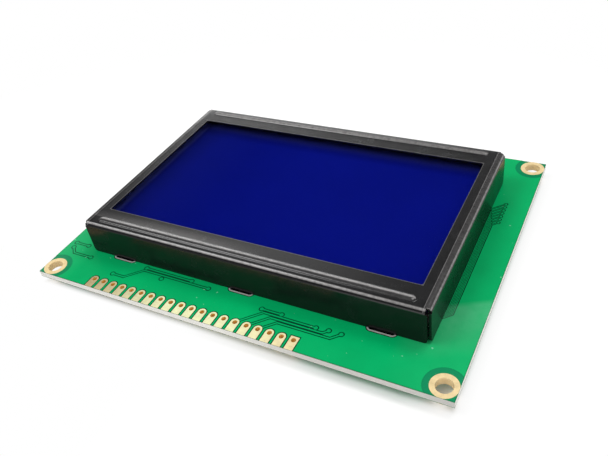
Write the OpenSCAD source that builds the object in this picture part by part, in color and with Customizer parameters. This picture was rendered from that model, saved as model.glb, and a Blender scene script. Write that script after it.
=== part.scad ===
// Graphic liquid crystal display module: a printed circuit board that carries a folded
// steel bezel, the display cell, its elastomer connectors and an edge-lit backlight.
// The module lies display up with the header edge towards -Y. The origin is under the
// middle of the board, and Z = 0 is the plane of the six tab tips that it rests on.

/* [Board] */
// Length of the board along the header edge
board_w = 93; // [91:0.5:110]
// Depth of the board from the header edge to the rear edge
board_d = 70; // [68:0.5:90]
// Thickness of the laminate
board_t = 1.6; // [1:0.1:2.4]
// Height of copper and solder mask over the bare laminate
copper_t = 0.05; // [0.04:0.01:0.1]
// Wall of the plating inside each plated hole and slot
plating_t = 0.06; // [0.04:0.01:0.1]

/* [Mounting holes] */
// Distance of each mounting hole from the two nearest board edges
hole_inset = 2.5; // [2.3:0.1:4]
// Clear bore of a plated mounting hole
hole_d = 3.2; // [2.2:0.1:3.4]
// Outer diameter of the plated ring round a mounting hole
ring_d = 5.1; // [4.2:0.1:6]
// Diameter of the bare laminate round a plated ring
ring_clear_d = 7.5; // [6.4:0.1:8.4]

/* [Header] */
// Number of header positions
pin_count = 20; // [8:1:24]
// Pitch of the header positions
pin_pitch = 2.54; // [2.2:0.01:2.8]
// Distance of the last position from the left board edge
pin_from_left = 14.2; // [10:0.1:18]
// Distance of the row from the front board edge
pin_from_front = 2.3; // [1.6:0.1:3]
// Clear bore of a plated header hole
pin_hole_d = 1; // [0.8:0.05:1.2]
// Width of a tongue-shaped header pad
pad_w = 1.75; // [1.5:0.05:1.85]
// Bare laminate left between a pad or trace and the copper beside it
copper_gap = 0.22; // [0.14:0.02:0.3]

/* [Bezel] */
// Length of the viewing window
window_w = 71.8; // [64:0.1:74]
// Depth of the viewing window
window_d = 39.2; // [34:0.1:42]
// Corner radius of the viewing window
window_r = 0.5; // [0.2:0.1:1.5]
// Width of the bezel's bars at the short ends of the window
bar_end = 3.3; // [2.6:0.1:4.5]
// Width of the bezel's bars along the long sides of the window
bar_long = 5.85; // [5.4:0.05:7]
// Shift of the bezel towards the rear board edge
bezel_shift = 0.3; // [-1:0.1:1]
// Height of the bezel's face above the board
bezel_h = 8.1; // [7.4:0.1:10]
// Thickness of the bezel's sheet steel
sheet_t = 0.5; // [0.4:0.05:0.6]
// Outer radius of the bezel's folds
fold_r = 1; // [0.8:0.05:1.2]
// Width of the slit between the ends of neighbouring walls
corner_slit = 0.1; // [0.05:0.05:0.4]
// Radius of the lower corners of the bezel's walls
wall_corner_r = 0.8; // [0.3:0.1:1.5]
// Width of the pressed beads
bead_w = 1.5; // [1.2:0.1:1.8]
// Height of the pressed beads over the face
bead_h = 0.32; // [0.2:0.02:0.4]
// Distance of a bead's middle from the bezel's long side
bead_inset = 2.1; // [1.9:0.1:2.6]
// Distance of a bead's ends from the bezel's short sides
bead_end_gap = 3.3; // [2.5:0.1:8]

/* [Bezel tabs] */
// Number of tabs on each long side
tab_count = 3; // [2:1:3]
// Spacing of the tabs along the bezel
tab_pitch = 30; // [24:0.5:32]
// Width of a tab
tab_w = 3; // [2.4:0.1:4]
// Length of a tab below the board
tab_drop = 1.6; // [1.5:0.1:2.5]
// Angle that a tab's tip is twisted through
tab_twist = 35; // [15:1:60]
// Length of a tab's slot in the board
slot_l = 5.2; // [4.6:0.1:6]
// Width of a tab's slot in the board
slot_w = 1.1; // [0.9:0.05:1.4]
// Width of the tinned rim round a slot
rim_w = 0.3; // [0.2:0.05:0.4]

/* [Display cell] */
// Thickness of each glass plate
glass_t = 1.1; // [0.7:0.1:1.2]
// Thickness of each polarizer film
polarizer_t = 0.25; // [0.15:0.05:0.3]
// Clearance between the front glass and the bezel's walls
glass_gap = 0.4; // [0.2:0.1:0.6]
// Width of the contact ledge on each long side of the front glass
ledge_w = 3.1; // [2.9:0.1:3.6]
// Overlap of the front polarizer under the bezel's face
polarizer_lap = 1.2; // [0.6:0.1:1.5]

/* [Elastomer connectors] */
// Width of an elastomer connector strip
strip_w = 2; // [1.4:0.1:2.2]
// Clearance between a strip and the rear glass beside it
strip_gap = 0.4; // [0.2:0.1:0.6]
// Distance of a strip's ends from the ends of the glass
strip_end_gap = 2.5; // [1:0.5:6]

/* [Backlight] */
// Wall of the backlight frame
frame_wall = 1.2; // [0.8:0.1:1.4]
// Floor of the backlight frame
frame_floor = 0.8; // [0.6:0.1:1]
// Thickness of the reflector sheet
reflector_t = 0.2; // [0.1:0.05:0.3]
// Thickness of the diffuser sheet
diffuser_t = 0.3; // [0.2:0.05:0.5]
// Clearance round the films and the light guide in the frame
sheet_gap = 0.15; // [0.1:0.05:0.3]
// Thickness of the board that carries the light emitting diodes
led_board_t = 0.8; // [0.6:0.1:1]
// Length of the diode board beyond the last diode at each end
led_board_end = 5; // [4:0.5:6]
// Number of light emitting diodes
led_count = 4; // [2:1:4]
// Spacing of the diodes
led_pitch = 7; // [5:0.5:8]
// Width of a diode package
led_w = 3; // [2:0.1:3.6]
// Height of a diode package
led_h = 1.4; // [1:0.1:2]
// Depth of a diode package
led_t = 1.1; // [0.8:0.1:1.4]
// Wall of a diode package round its window
led_rim = 0.25; // [0.15:0.05:0.35]
// Depth of a diode's window
led_recess = 0.2; // [0.1:0.05:0.4]
// Side of the square backlight pins
pin_side = 0.5; // [0.4:0.05:0.6]
// Distance of a backlight pin from the end of the diode board
pin_inset = 1.5; // [1:0.1:2.5]
// Clearance round a backlight pin in the frame's floor
pin_clear = 0.15; // [0.1:0.05:0.3]
// Clear bore of a plated backlight hole
pin_bore_d = 0.9; // [0.85:0.05:1.1]
// Diameter of the land round a backlight hole
land_d = 2.2; // [1.8:0.1:2.8]
// Height of the solder round a backlight pin
solder_h = 0.7; // [0.5:0.05:0.9]
// Width of the land left bare round its solder
solder_edge = 0.1; // [0.05:0.05:0.2]
// Length of a backlight pin's tip below its solder
pin_tip = 0.2; // [0.1:0.05:0.4]

/* [Chips] */
// Base diameter of the epoxy dome over the controller die
controller_dome_d = 17; // [14:0.5:20]
// Base diameter of the epoxy domes over the driver dies
driver_dome_d = 14; // [12:0.5:16]
// Height of the epoxy domes
dome_h = 1.3; // [1:0.1:1.4]
// Length of a silicon die
die_l = 5; // [4:0.1:6]
// Width of a silicon die
die_w = 3.6; // [3:0.1:4.5]
// Height of a silicon die
die_t = 0.4; // [0.3:0.05:0.5]
// Length of a chip resistor or capacitor
chip_l = 2; // [1.6:0.1:2.2]
// Width of a chip resistor or capacitor
chip_w = 1.25; // [0.8:0.05:1.4]
// Height of a chip resistor
resistor_h = 0.55; // [0.4:0.05:0.7]
// Height of a chip capacitor
capacitor_h = 0.85; // [0.6:0.05:1.2]
// Length of the metal cap on each end of a chip
cap_l = 0.4; // [0.25:0.05:0.5]
// Reach of the solder fillet beyond a chip's end
fillet_l = 0.4; // [0.2:0.05:0.6]
// Share of a chip's height that its solder fillet climbs
fillet_rise = 0.7; // [0.4:0.05:0.9]

/* [Traces] */
// Width of the signal traces
trace_w = 0.3; // [0.2:0.02:0.36]
// Spacing of the trace rows beside the header
trace_row = 0.7; // [0.66:0.02:0.9]
// Diameter of the covered vias at the ends of traces
via_d = 0.8; // [0.6:0.05:1]
// Number of fine traces in the bundle beside the bezel
bundle_count = 7; // [3:1:8]
// Spacing of the fine traces in the bundle
bundle_pitch = 0.24; // [0.2:0.01:0.26]
// Spacing of the bundle's vias
bundle_via_pitch = 1.1; // [0.95:0.05:1.3]

/* [Hidden] */
$fn = 48;
dome_facets = 96;
dome_arc_facets = 720;

// Reach of a cutting shape past the face that it opens
cut = 1;

// Heights of the board and of the bezel
board_bottom = tab_drop;
board_top = board_bottom + board_t;
face_z = board_top + bezel_h;
face_under = face_z - sheet_t;

// Outline of the bezel and of the parts that it holds
bezel_w = window_w + 2 * bar_end;
bezel_d = window_d + 2 * bar_long;
glass_w = bezel_w - 2 * sheet_t - 2 * glass_gap;
glass_d = bezel_d - 2 * sheet_t - 2 * glass_gap;
rear_glass_d = glass_d - 2 * ledge_w;

// Heights of the display cell, from the bezel's face downwards
front_glass_top = face_under - polarizer_t;
front_glass_under = front_glass_top - glass_t;
rear_glass_under = front_glass_under - glass_t;
rear_film_under = rear_glass_under - polarizer_t;
front_film_w = window_w + 2 * polarizer_lap;
front_film_d = window_d + 2 * polarizer_lap;

// Backlight frame and its contents, from the board upwards
frame_w = glass_w;
frame_d = rear_glass_d;
pocket_w = frame_w - 2 * frame_wall;
pocket_d = frame_d - 2 * frame_wall;
insert_w = pocket_w - 2 * sheet_gap;
insert_d = pocket_d - 2 * sheet_gap;
reflector_z = board_top + frame_floor;
guide_z = reflector_z + reflector_t;
diffuser_z = rear_film_under - diffuser_t;
led_board_x = pocket_w / 2 - led_board_t;
led_x = led_board_x - led_t;
guide_right = led_x - sheet_gap;
guide_left = -pocket_w / 2 + sheet_gap;
led_board_h = diffuser_z - sheet_gap - reflector_z;
led_z = reflector_z + led_board_h / 2;
led_board_l = (led_count - 1) * led_pitch + led_w + 2 * led_board_end;
pin_spread = led_board_l - 2 * pin_inset;
pin_x_mid = led_board_x - pin_side / 2;
pin_diagonal = pin_side * sqrt(2);
pin_floor_d = pin_diagonal + 2 * pin_clear;
pin_tail = solder_h + pin_tip;
solder_r = land_d / 2 - solder_edge;
solder_top_r = pin_diagonal / 2 + solder_edge / 2;

// Bezel tabs and their slots
tab_y = bezel_d / 2 - sheet_t / 2;
tab_places = [
    for (side = [-1, 1], i = [0 : tab_count - 1])
        [(i - (tab_count - 1) / 2) * tab_pitch, bezel_shift + side * tab_y, side]
];
twist_slices = 8;
tab_corners = 4;

// Pressed beads: radius that gives the bead its width and height
bead_r = (bead_w * bead_w / 4 + bead_h * bead_h) / (2 * bead_h);
bead_half = bezel_w / 2 - bead_end_gap - bead_w / 2;
bead_y = bezel_d / 2 - bead_inset;

// Mounting hole centres and header positions
hole_x = board_w / 2 - hole_inset;
hole_y = board_d / 2 - hole_inset;
hole_places = [for (x = [-hole_x, hole_x], y = [-hole_y, hole_y]) [x, y]];
pin_y = -board_d / 2 + pin_from_front;
last_pin = pin_count - 1;
function pin_x(i) = -board_w / 2 + pin_from_left + i * pin_pitch;

// Front traces that leave the header, counted from the square pad at its right end
row_gap = 2.7;
via_gap = 1.6;
short_link_l = 4.4;
row_y = pin_y + row_gap;
via_row = row_y + via_gap;
third_row = row_y + 2 * trace_row;
fourth_row = third_row + trace_row;
short_link_x = pin_x(last_pin - 2);
function from_pin(i, y) = let (x = pin_x(last_pin - i)) [[x, pin_y], [x + y - pin_y, y]];
function to_via(x, y) = [[x - (via_row - y), y], [x, via_row]];
header_traces = [
    concat(from_pin(5, third_row), [[pin_x(last_pin) + pin_pitch, third_row]]),
    concat(from_pin(4, row_y + trace_row), to_via(pin_x(last_pin) + 2 * pin_pitch, row_y + trace_row)),
    concat(from_pin(3, row_y), to_via(pin_x(last_pin) + 3 * pin_pitch, row_y))
];

// Front traces that join two vias, with points measured from the front left board corner
corner = [-board_w / 2, -board_d / 2];
left_routes = [
    [[17, 5], [20, 5], [23.2, 8.2], [39.7, 8.2]],
    [[23.3, 8.9], [35.1, 8.9]],
    [[2, 9], [3.5, 7.5], [8.5, 7.5]],
    [[1.6, 10.5], [5.2, 10.5]]
];
lone_via = [28.4, 7.3];
link_traces = concat(
    [[[short_link_x - short_link_l, fourth_row], [short_link_x, fourth_row]]],
    [for (route = left_routes) [for (p = route) corner + p]]
);
front_traces = concat(header_traces, link_traces);
function ends(paths) = [for (p = paths) p[len(p) - 1]];
function starts(paths) = [for (p = paths) p[0]];
front_vias = concat(ends(front_traces), starts(link_traces), [corner + lone_via]);

// Bundle of fine traces that leaves the bezel's right wall and fans out to covered vias
bundle_w = bundle_pitch / 2;
bundle_gap = 0.8 * bundle_pitch;
bundle_reach = 1.35;
bundle_via_reach = 1.15;
bundle_start = 17.3;
bundle_fan = 10.8;
bundle_via_d = 0.5;
bundle_x = bezel_w / 2 + bundle_reach;
bundle_front = bezel_shift - bundle_start;
bundle_via_x = bundle_x + bundle_via_reach;
bundle_via_y = bezel_shift + bundle_fan;
bundle_hide_x = bezel_w / 2 - sheet_t;
bundle_traces = [
    for (i = [0 : bundle_count - 1])
        let (
            x = bundle_x - i * bundle_pitch,
            y = bundle_front + i * bundle_pitch / 2,
            via_y = bundle_via_y + i * bundle_via_pitch
        )
        [
            [bundle_hide_x, y - x + bundle_hide_x],
            [x, y],
            [x, via_y - bundle_via_x + x],
            [bundle_via_x, via_y]
        ]
];

// Back of the board: chip places seen through the board, as [x, y, turn]
controller_place = [-9, -9];
driver_places = [[-23, 12], [21, 10]];
resistor_places = [
    [-27, -20, 90], [-24, -20, 90], [-21, -20, 90], [14, -20, 0], [14, -17.5, 0],
    [6, -2, 90], [9, -2, 90], [33, -6, 90], [33, -12, 90]
];
capacitor_places = [
    [19, -20, 0], [19, -17.5, 0], [-27, -8, 90], [-2, 12, 0], [-2, 15, 0], [12, -2, 90]
];
under_dome = 1.5;
bus_first_pin = 6;
bus_count = min(8, pin_count - bus_first_pin);
bus_pitch = 1.5;
bus_straight = 3;
bus_bend_y = pin_y + bus_straight;
bus_end_y = controller_place.y - controller_dome_d / 2 + under_dome;
bus_traces = [
    for (i = [0 : bus_count - 1])
        let (
            x = pin_x(bus_first_pin + i),
            goal = controller_place.x + (i - (bus_count - 1) / 2) * bus_pitch
        )
        [
            [x, pin_y],
            [x, bus_bend_y],
            [goal, bus_bend_y + abs(goal - x)],
            [goal, bus_end_y]
        ]
];
driver_bus_count = 5;
driver_bus_pitch = 0.9;
driver_bus_y = controller_place.y + 2;
driver_bus_reach = controller_dome_d / 2 - under_dome;
driver_traces = [
    for (d = driver_places, i = [0 : driver_bus_count - 1])
        let (
            side = sign(d.x - controller_place.x),
            step = (i - (driver_bus_count - 1) / 2) * driver_bus_pitch,
            near = [controller_place.x + side * driver_bus_reach, driver_bus_y + step],
            far_x = d.x - side * step
        )
        [near, [far_x, near.y], [far_x, d.y - driver_dome_d / 2 + under_dome]]
];

// Points at a set distance to the left of a path, with mitred corners
function left_of(a, b) = let (u = (b - a) / norm(b - a)) [-u.y, u.x];
function beside(p, i, d) =
    i == 0 ? p[0] + d * left_of(p[0], p[1])
    : i == len(p) - 1 ? p[i] + d * left_of(p[i - 1], p[i])
    : let (
        n = left_of(p[i - 1], p[i]),
        m = n + left_of(p[i], p[i + 1])
    ) p[i] + m * d / (m * n);

module stroke(path, w) {
    polygon(concat(
        [for (i = [0 : len(path) - 1]) beside(path, i, w / 2)],
        [for (i = [len(path) - 1 : -1 : 0]) beside(path, i, -w / 2)]
    ));
}

module traces(paths, w) {
    for (path = paths) stroke(path, w);
}

module dots(places, d) {
    for (p = places) translate([p.x, p.y]) circle(d = d);
}

module stadium(l, w) {
    square([l - w, w], center = true);
    for (side = [-1, 1]) translate([side * (l - w) / 2, 0]) circle(d = w);
}

module at_slots() {
    for (p = tab_places) translate([p.x, p.y]) children();
}

module at_header() {
    for (i = [0 : last_pin]) translate([pin_x(i), pin_y]) children();
}

// Tongue pads run from the row of holes to the front board edge; the last one is square
module header_tongues(grow) {
    w = pad_w + 2 * grow;
    at_header() {
        translate([-w / 2, -pin_from_front]) square([w, pin_from_front]);
        circle(d = w);
    }
    translate([pin_x(last_pin) - w / 2, pin_y]) square([w, w / 2]);
}

module board_outline() {
    square([board_w, board_d], center = true);
}

// Fills a flat shape over the height of the front or the back copper
module front_copper() {
    translate([0, 0, board_top - copper_t]) linear_extrude(copper_t) children();
}

module back_copper() {
    translate([0, 0, board_bottom]) linear_extrude(copper_t) children();
}

// Cuts a flat shape to the depth of the front or the back copper
module front_etch() {
    translate([0, 0, board_top - copper_t]) linear_extrude(cut) children();
}

module back_etch() {
    translate([0, 0, board_bottom + copper_t - cut]) linear_extrude(cut) children();
}

module through() {
    translate([0, 0, board_bottom - cut]) linear_extrude(board_t + 2 * cut) children();
}

module common_etch() {
    header_tongues(copper_gap);
    dots(hole_places, ring_clear_d);
    at_slots() stadium(slot_l + 2 * rim_w + 2 * copper_gap, slot_w + 2 * rim_w + 2 * copper_gap);
}

module front_pattern() {
    difference() {
        union() {
            common_etch();
            traces(front_traces, trace_w + 2 * copper_gap);
            dots(front_vias, via_d + 2 * copper_gap);
        }
        difference() {
            union() {
                traces(front_traces, trace_w);
                dots(front_vias, via_d);
            }
            header_tongues(0);
        }
    }
}

module bundle_pattern() {
    difference() {
        union() {
            traces(bundle_traces, bundle_w + 2 * bundle_gap);
            dots(ends(bundle_traces), bundle_via_d + 2 * bundle_gap);
        }
        traces(bundle_traces, bundle_w);
        dots(ends(bundle_traces), bundle_via_d);
    }
}

module back_pattern() {
    difference() {
        union() {
            common_etch();
            traces(bus_traces, trace_w + 2 * copper_gap);
            traces(driver_traces, trace_w + 2 * copper_gap);
        }
        difference() {
            union() {
                traces(bus_traces, trace_w);
                traces(driver_traces, trace_w);
            }
            header_tongues(0);
        }
    }
}

module at_backlight_pins() {
    for (side = [-1, 1])
        translate([pin_x_mid, bezel_shift + side * pin_spread / 2]) children();
}

module pcb() {
    color("seagreen")
    difference() {
        translate([0, 0, board_bottom]) linear_extrude(board_t) board_outline();
        through() {
            dots(hole_places, hole_d + 2 * plating_t);
            at_header() circle(d = pin_hole_d + 2 * plating_t);
            at_slots() stadium(slot_l + 2 * plating_t, slot_w + 2 * plating_t);
            at_backlight_pins() circle(d = pin_bore_d + 2 * plating_t);
        }
        front_etch() front_pattern();
        front_etch() bundle_pattern();
        back_etch() back_pattern();
        back_etch() at_backlight_pins() circle(d = land_d);
    }
}

module header_pads() {
    color("gold")
    difference() {
        union() {
            front_copper() header_tongues(0);
            back_copper() header_tongues(0);
            translate([0, 0, board_bottom]) linear_extrude(board_t)
                at_header() circle(d = pin_hole_d + 2 * plating_t);
        }
        through() at_header() circle(d = pin_hole_d);
    }
}

module mounting_rings() {
    color("gold")
    difference() {
        union() {
            front_copper() intersection() { dots(hole_places, ring_d); board_outline(); }
            back_copper() intersection() { dots(hole_places, ring_d); board_outline(); }
            translate([0, 0, board_bottom]) linear_extrude(board_t)
                dots(hole_places, hole_d + 2 * plating_t);
        }
        through() dots(hole_places, hole_d);
    }
}

module slot_rims() {
    color("silver")
    difference() {
        union() {
            front_copper() at_slots() stadium(slot_l + 2 * rim_w, slot_w + 2 * rim_w);
            back_copper() at_slots() stadium(slot_l + 2 * rim_w, slot_w + 2 * rim_w);
            translate([0, 0, board_bottom]) linear_extrude(board_t)
                at_slots() stadium(slot_l + 2 * plating_t, slot_w + 2 * plating_t);
        }
        through() at_slots() stadium(slot_l, slot_w);
    }
}

// Section through one fold: the edge of the face and the bend down to the wall
module fold_section() {
    translate([0, face_z - fold_r]) intersection() {
        difference() {
            circle(r = fold_r);
            circle(r = fold_r - sheet_t);
        }
        square(fold_r);
    }
    translate([-fold_r, face_under]) square([fold_r, sheet_t]);
}

// Wall seen from outside: its ends reach past the fold, and its lower corners are round
module wall_outline(l) {
    translate([-l / 2, wall_corner_r]) square([l, bezel_h - fold_r - wall_corner_r]);
    translate([wall_corner_r - l / 2, 0]) square([l - 2 * wall_corner_r, bezel_h - fold_r]);
    for (end = [-1, 1])
        translate([end * (l / 2 - wall_corner_r), wall_corner_r]) circle(r = wall_corner_r);
}

// One folded side along Y, facing +X, between corners that lie the given length apart
module folded_side(l) {
    rotate([90, 0, 0]) linear_extrude(l - 2 * fold_r, center = true) fold_section();
    translate([fold_r - sheet_t, 0, board_top]) rotate([90, 0, 90]) linear_extrude(sheet_t)
        wall_outline(l - 2 * (sheet_t + corner_slit));
}

module window_cut() {
    linear_extrude(2 * cut + sheet_t) {
        square([window_w, window_d - 2 * window_r], center = true);
        square([window_w - 2 * window_r, window_d], center = true);
        for (x = [-1, 1], y = [-1, 1])
            translate([x * (window_w / 2 - window_r), y * (window_d / 2 - window_r)])
                circle(r = window_r);
    }
}

// Bar with round ends that shapes one face of a pressed bead
module bead_bar(r) {
    rotate([0, 90, 0]) cylinder(r = r, h = 2 * bead_half, center = true);
    for (end = [-1, 1]) translate([end * bead_half, 0, 0]) sphere(r = r);
}

module at_beads() {
    for (side = [-1, 1]) translate([0, side * bead_y, face_z + bead_h - bead_r]) children();
}

module tab() {
    translate([-tab_w / 2, -sheet_t / 2, board_bottom]) cube([tab_w, sheet_t, board_t]);
    translate([0, 0, board_bottom]) rotate([180, 0, 0])
        linear_extrude(tab_drop, twist = tab_twist, slices = twist_slices, segments = tab_corners)
            square([tab_w, sheet_t], center = true);
}

// One folded sheet: windowed face with pressed beads, four walls and twisted tabs
module bezel() {
    color([0.09, 0.09, 0.1]) {
        translate([0, bezel_shift, 0]) difference() {
            union() {
                translate([0, 0, face_under]) linear_extrude(sheet_t)
                    square([bezel_w - 2 * fold_r, bezel_d - 2 * fold_r], center = true);
                for (turn = [0, 180]) rotate(turn) {
                    translate([bezel_w / 2 - fold_r, 0, 0]) folded_side(bezel_d);
                    rotate(90) translate([bezel_d / 2 - fold_r, 0, 0]) folded_side(bezel_w);
                }
                intersection() {
                    at_beads() bead_bar(bead_r);
                    translate([0, 0, face_under + sheet_t / 2]) linear_extrude(sheet_t + bead_h)
                        square([bezel_w, bezel_d], center = true);
                }
            }
            translate([0, 0, face_under - cut]) window_cut();
            at_beads() bead_bar(bead_r - sheet_t);
        }
        for (p = tab_places) translate([p.x, p.y, 0]) tab();
    }
}

module plate(w, d, bottom, top) {
    translate([-w / 2, bezel_shift - d / 2, bottom]) cube([w, d, top - bottom]);
}

module front_polarizer() {
    color([0.05, 0.05, 0.4]) plate(front_film_w, front_film_d, front_glass_top, face_under);
}

module front_glass() {
    color([0.6, 0.7, 0.7]) plate(glass_w, glass_d, front_glass_under, front_glass_top);
}

module rear_glass() {
    color([0.6, 0.7, 0.7]) plate(glass_w, rear_glass_d, rear_glass_under, front_glass_under);
}

module rear_polarizer() {
    color([0.1, 0.1, 0.3]) plate(insert_w, insert_d, rear_film_under, rear_glass_under);
}

module connector_strip(side) {
    y = rear_glass_d / 2 + strip_gap;
    translate([-glass_w / 2 + strip_end_gap, bezel_shift + min(side * y, side * (y + strip_w)), board_top])
        cube([glass_w - 2 * strip_end_gap, strip_w, front_glass_under - board_top]);
}

module front_connector_strip() {
    color("pink") connector_strip(-1);
}

module rear_connector_strip() {
    color("pink") connector_strip(1);
}

module backlight_frame() {
    color("white")
    difference() {
        plate(frame_w, frame_d, board_top, rear_glass_under);
        plate(pocket_w, pocket_d, reflector_z, rear_glass_under + cut);
        translate([0, 0, board_top - cut]) linear_extrude(frame_floor + 2 * cut)
            at_backlight_pins() circle(d = pin_floor_d);
    }
}

module diffuser_sheet() {
    color("ivory") plate(insert_w, insert_d, diffuser_z, rear_film_under);
}

module light_guide() {
    color([0.8, 0.9, 0.95])
    translate([guide_left, bezel_shift - insert_d / 2, guide_z])
        cube([guide_right - guide_left, insert_d, diffuser_z - guide_z]);
}

module reflector_sheet() {
    color("whitesmoke")
    translate([guide_left, bezel_shift - insert_d / 2, reflector_z])
        cube([guide_right - guide_left, insert_d, reflector_t]);
}

module led_board() {
    color("tan")
    translate([led_board_x, bezel_shift - led_board_l / 2, reflector_z])
        cube([led_board_t, led_board_l, led_board_h]);
}

module led() {
    difference() {
        translate([led_x, -led_w / 2, led_z - led_h / 2]) cube([led_t, led_w, led_h]);
        translate([led_x - cut, -led_w / 2 + led_rim, led_z - led_h / 2 + led_rim])
            cube([cut + led_recess, led_w - 2 * led_rim, led_h - 2 * led_rim]);
    }
}

module leds() {
    color("khaki")
    for (i = [0 : led_count - 1])
        translate([0, bezel_shift + (i - (led_count - 1) / 2) * led_pitch, 0]) led();
}

module backlight_pins() {
    color("silver")
    at_backlight_pins() translate([-pin_side / 2, -pin_side / 2, board_bottom - pin_tail])
        cube([pin_side, pin_side, led_z - board_bottom + pin_tail]);
}

module backlight_lands() {
    color("gold")
    difference() {
        union() {
            back_copper() at_backlight_pins() circle(d = land_d);
            translate([0, 0, board_bottom]) linear_extrude(board_t)
                at_backlight_pins() circle(d = pin_bore_d + 2 * plating_t);
        }
        through() at_backlight_pins() circle(d = pin_bore_d);
    }
}

// Solder fillet: a concave cone from the land to the pin's tail
module solder_fillet() {
    mirror([0, 0, 1]) difference() {
        rotate_extrude() difference() {
            square([solder_r, solder_h]);
            translate([solder_r, solder_h]) circle(r = min(solder_h - solder_edge, solder_r - solder_top_r));
        }
        translate([-pin_side / 2, -pin_side / 2, -cut]) cube([pin_side, pin_side, solder_h + 2 * cut]);
    }
}

module backlight_solder() {
    color("lightgray")
    at_backlight_pins() translate([0, 0, board_bottom]) solder_fillet();
}

module die() {
    translate([-die_l / 2, -die_w / 2, board_bottom - die_t]) cube([die_l, die_w, die_t]);
}

// Low epoxy dome on the back of the board, moulded over its die
module dome(d) {
    r = (d * d / 4 + dome_h * dome_h) / (2 * dome_h);
    difference() {
        translate([0, 0, board_bottom - dome_h]) rotate_extrude($fn = dome_facets) intersection() {
            translate([0, r]) circle(r = r, $fn = dome_arc_facets);
            square([d, dome_h]);
        }
        die();
    }
}

module controller_die() {
    color("slategray") translate(controller_place) die();
}

module driver_dies() {
    color("slategray") for (p = driver_places) translate(p) die();
}

module controller_dome() {
    color([0.08, 0.08, 0.08]) translate(controller_place) dome(controller_dome_d);
}

module left_driver_dome() {
    color([0.08, 0.08, 0.08]) translate(driver_places[0]) dome(driver_dome_d);
}

module right_driver_dome() {
    color([0.08, 0.08, 0.08]) translate(driver_places[1]) dome(driver_dome_d);
}

module at_chips(places) {
    for (p = places) translate([p.x, p.y, board_bottom]) rotate(p.z) children();
}

module chip_body(h) {
    translate([-chip_l / 2 + cap_l, -chip_w / 2, -h]) cube([chip_l - 2 * cap_l, chip_w, h]);
}

module chip_caps(h) {
    for (end = [0, 180]) rotate(end)
        translate([chip_l / 2 - cap_l, -chip_w / 2, -h]) cube([cap_l, chip_w, h]);
}

module chip_fillets(h) {
    for (end = [0, 180]) rotate(end) translate([chip_l / 2, chip_w / 2, 0]) rotate([90, 0, 0])
        linear_extrude(chip_w) polygon([[0, 0], [fillet_l, 0], [0, -fillet_rise * h]]);
}

module chip_resistors() {
    color("dimgray") at_chips(resistor_places) chip_body(resistor_h);
}

module resistor_caps() {
    color("silver") at_chips(resistor_places) chip_caps(resistor_h);
}

module chip_capacitors() {
    color("tan") at_chips(capacitor_places) chip_body(capacitor_h);
}

module capacitor_caps() {
    color("silver") at_chips(capacitor_places) chip_caps(capacitor_h);
}

module chip_solder() {
    color("lightgray") {
        at_chips(resistor_places) chip_fillets(resistor_h);
        at_chips(capacitor_places) chip_fillets(capacitor_h);
    }
}

pcb();
header_pads();
mounting_rings();
slot_rims();
bezel();
front_polarizer();
front_glass();
rear_glass();
rear_polarizer();
front_connector_strip();
rear_connector_strip();
backlight_frame();
diffuser_sheet();
light_guide();
reflector_sheet();
led_board();
leds();
backlight_pins();
backlight_lands();
backlight_solder();
controller_die();
driver_dies();
controller_dome();
left_driver_dome();
right_driver_dome();
chip_resistors();
resistor_caps();
chip_capacitors();
capacitor_caps();
chip_solder();
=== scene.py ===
import math

import bmesh
import bpy
from bpy.props import FloatProperty, FloatVectorProperty, PointerProperty
from mathutils import Matrix, Vector


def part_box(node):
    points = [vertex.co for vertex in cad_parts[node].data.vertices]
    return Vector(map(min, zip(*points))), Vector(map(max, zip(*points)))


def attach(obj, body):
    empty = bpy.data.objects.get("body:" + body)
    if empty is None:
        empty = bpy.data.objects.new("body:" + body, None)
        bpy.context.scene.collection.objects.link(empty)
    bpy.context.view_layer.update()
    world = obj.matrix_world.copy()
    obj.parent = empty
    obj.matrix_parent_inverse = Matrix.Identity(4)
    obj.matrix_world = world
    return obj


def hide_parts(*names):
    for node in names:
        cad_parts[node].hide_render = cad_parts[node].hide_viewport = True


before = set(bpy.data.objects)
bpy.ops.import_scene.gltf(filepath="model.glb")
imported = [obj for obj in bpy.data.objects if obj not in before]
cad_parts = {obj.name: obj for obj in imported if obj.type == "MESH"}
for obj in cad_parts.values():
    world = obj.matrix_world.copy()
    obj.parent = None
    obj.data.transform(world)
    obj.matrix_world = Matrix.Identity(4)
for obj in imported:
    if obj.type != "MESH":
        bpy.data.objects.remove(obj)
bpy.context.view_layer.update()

bl_info = {
    "name": "Graphic display module",
    "version": (1, 0, 0),
    "blender": (4, 5, 0),
    "location": "View3D > Sidebar > Display",
    "description": "Finishes, bezel, chips, light and camera of a graphic display module",
    "category": "Object",
}

# Lengths are in metres. The finishes work in millimetres.
MM = 0.001

# Width in pixels of the image that the camera is set for, and width in millimetres of its sensor
IMAGE_WIDTH = 608
SENSOR_WIDTH = 36.0

# Distance within which a point counts as being at a place, and within which points are merged
NEAR = 0.01 * MM
WELD = 0.001 * MM

# Steps of a rounded corner and of a fold, and the angle in degrees from which an edge stays sharp
CORNER_STEPS = 6
FOLD_STEPS = 8
SHARP = 60

# Range that most values of a noise pattern lie in
NOISE_LOW, NOISE_HIGH = 0.3, 0.7

# Positions of the colour sockets on a Mix node
MIX_FACTOR, MIX_FIRST, MIX_SECOND, MIX_RESULT = 0, 6, 7, 2

# Levels and middles that the pieces share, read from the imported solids
board_lo, board_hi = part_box("pcb")
bezel_lo, bezel_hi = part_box("bezel")
glass_lo, glass_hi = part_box("front_glass")
film_lo, film_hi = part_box("front_polarizer")
middle_y = (glass_lo.y + glass_hi.y) / 2


def window_half():
    """Half width and half depth of the bezel's window."""
    lap = bpy.context.scene.display_bezel.window_lap
    return (film_hi.x - film_lo.x) / 2 - lap, (film_hi.y - film_lo.y) / 2 - lap


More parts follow.
